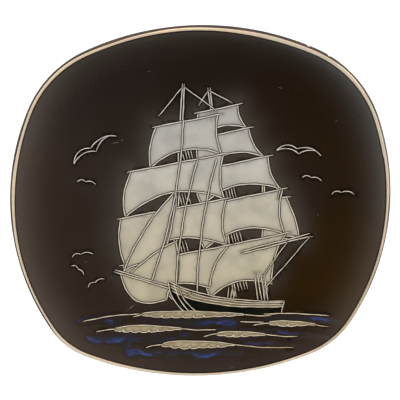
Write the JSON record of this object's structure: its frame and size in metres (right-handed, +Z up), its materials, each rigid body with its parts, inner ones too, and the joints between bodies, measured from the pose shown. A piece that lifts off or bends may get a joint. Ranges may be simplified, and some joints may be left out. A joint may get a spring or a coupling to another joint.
{
  "type": "wall plate",
  "caption": "Shallow rounded-square ceramic dish with a rising wall, a foot ring and a dark glazed front with a sailing-ship picture, hung on a wall as an ornament.",
  "frame": {"origin": "back of the foot ring at its top centre, where the plate rests on the wall", "axes": "+X to the right as seen from the front, +Y into the wall, +Z up; the dish faces -Y"},
  "size_m": [0.2856, 0.026, 0.2692],
  "materials": {
    "black_glaze": "satin"
  },
  "bodies": {
    "root": {"plate": "black_glaze"}
  },
  "joints": []
}
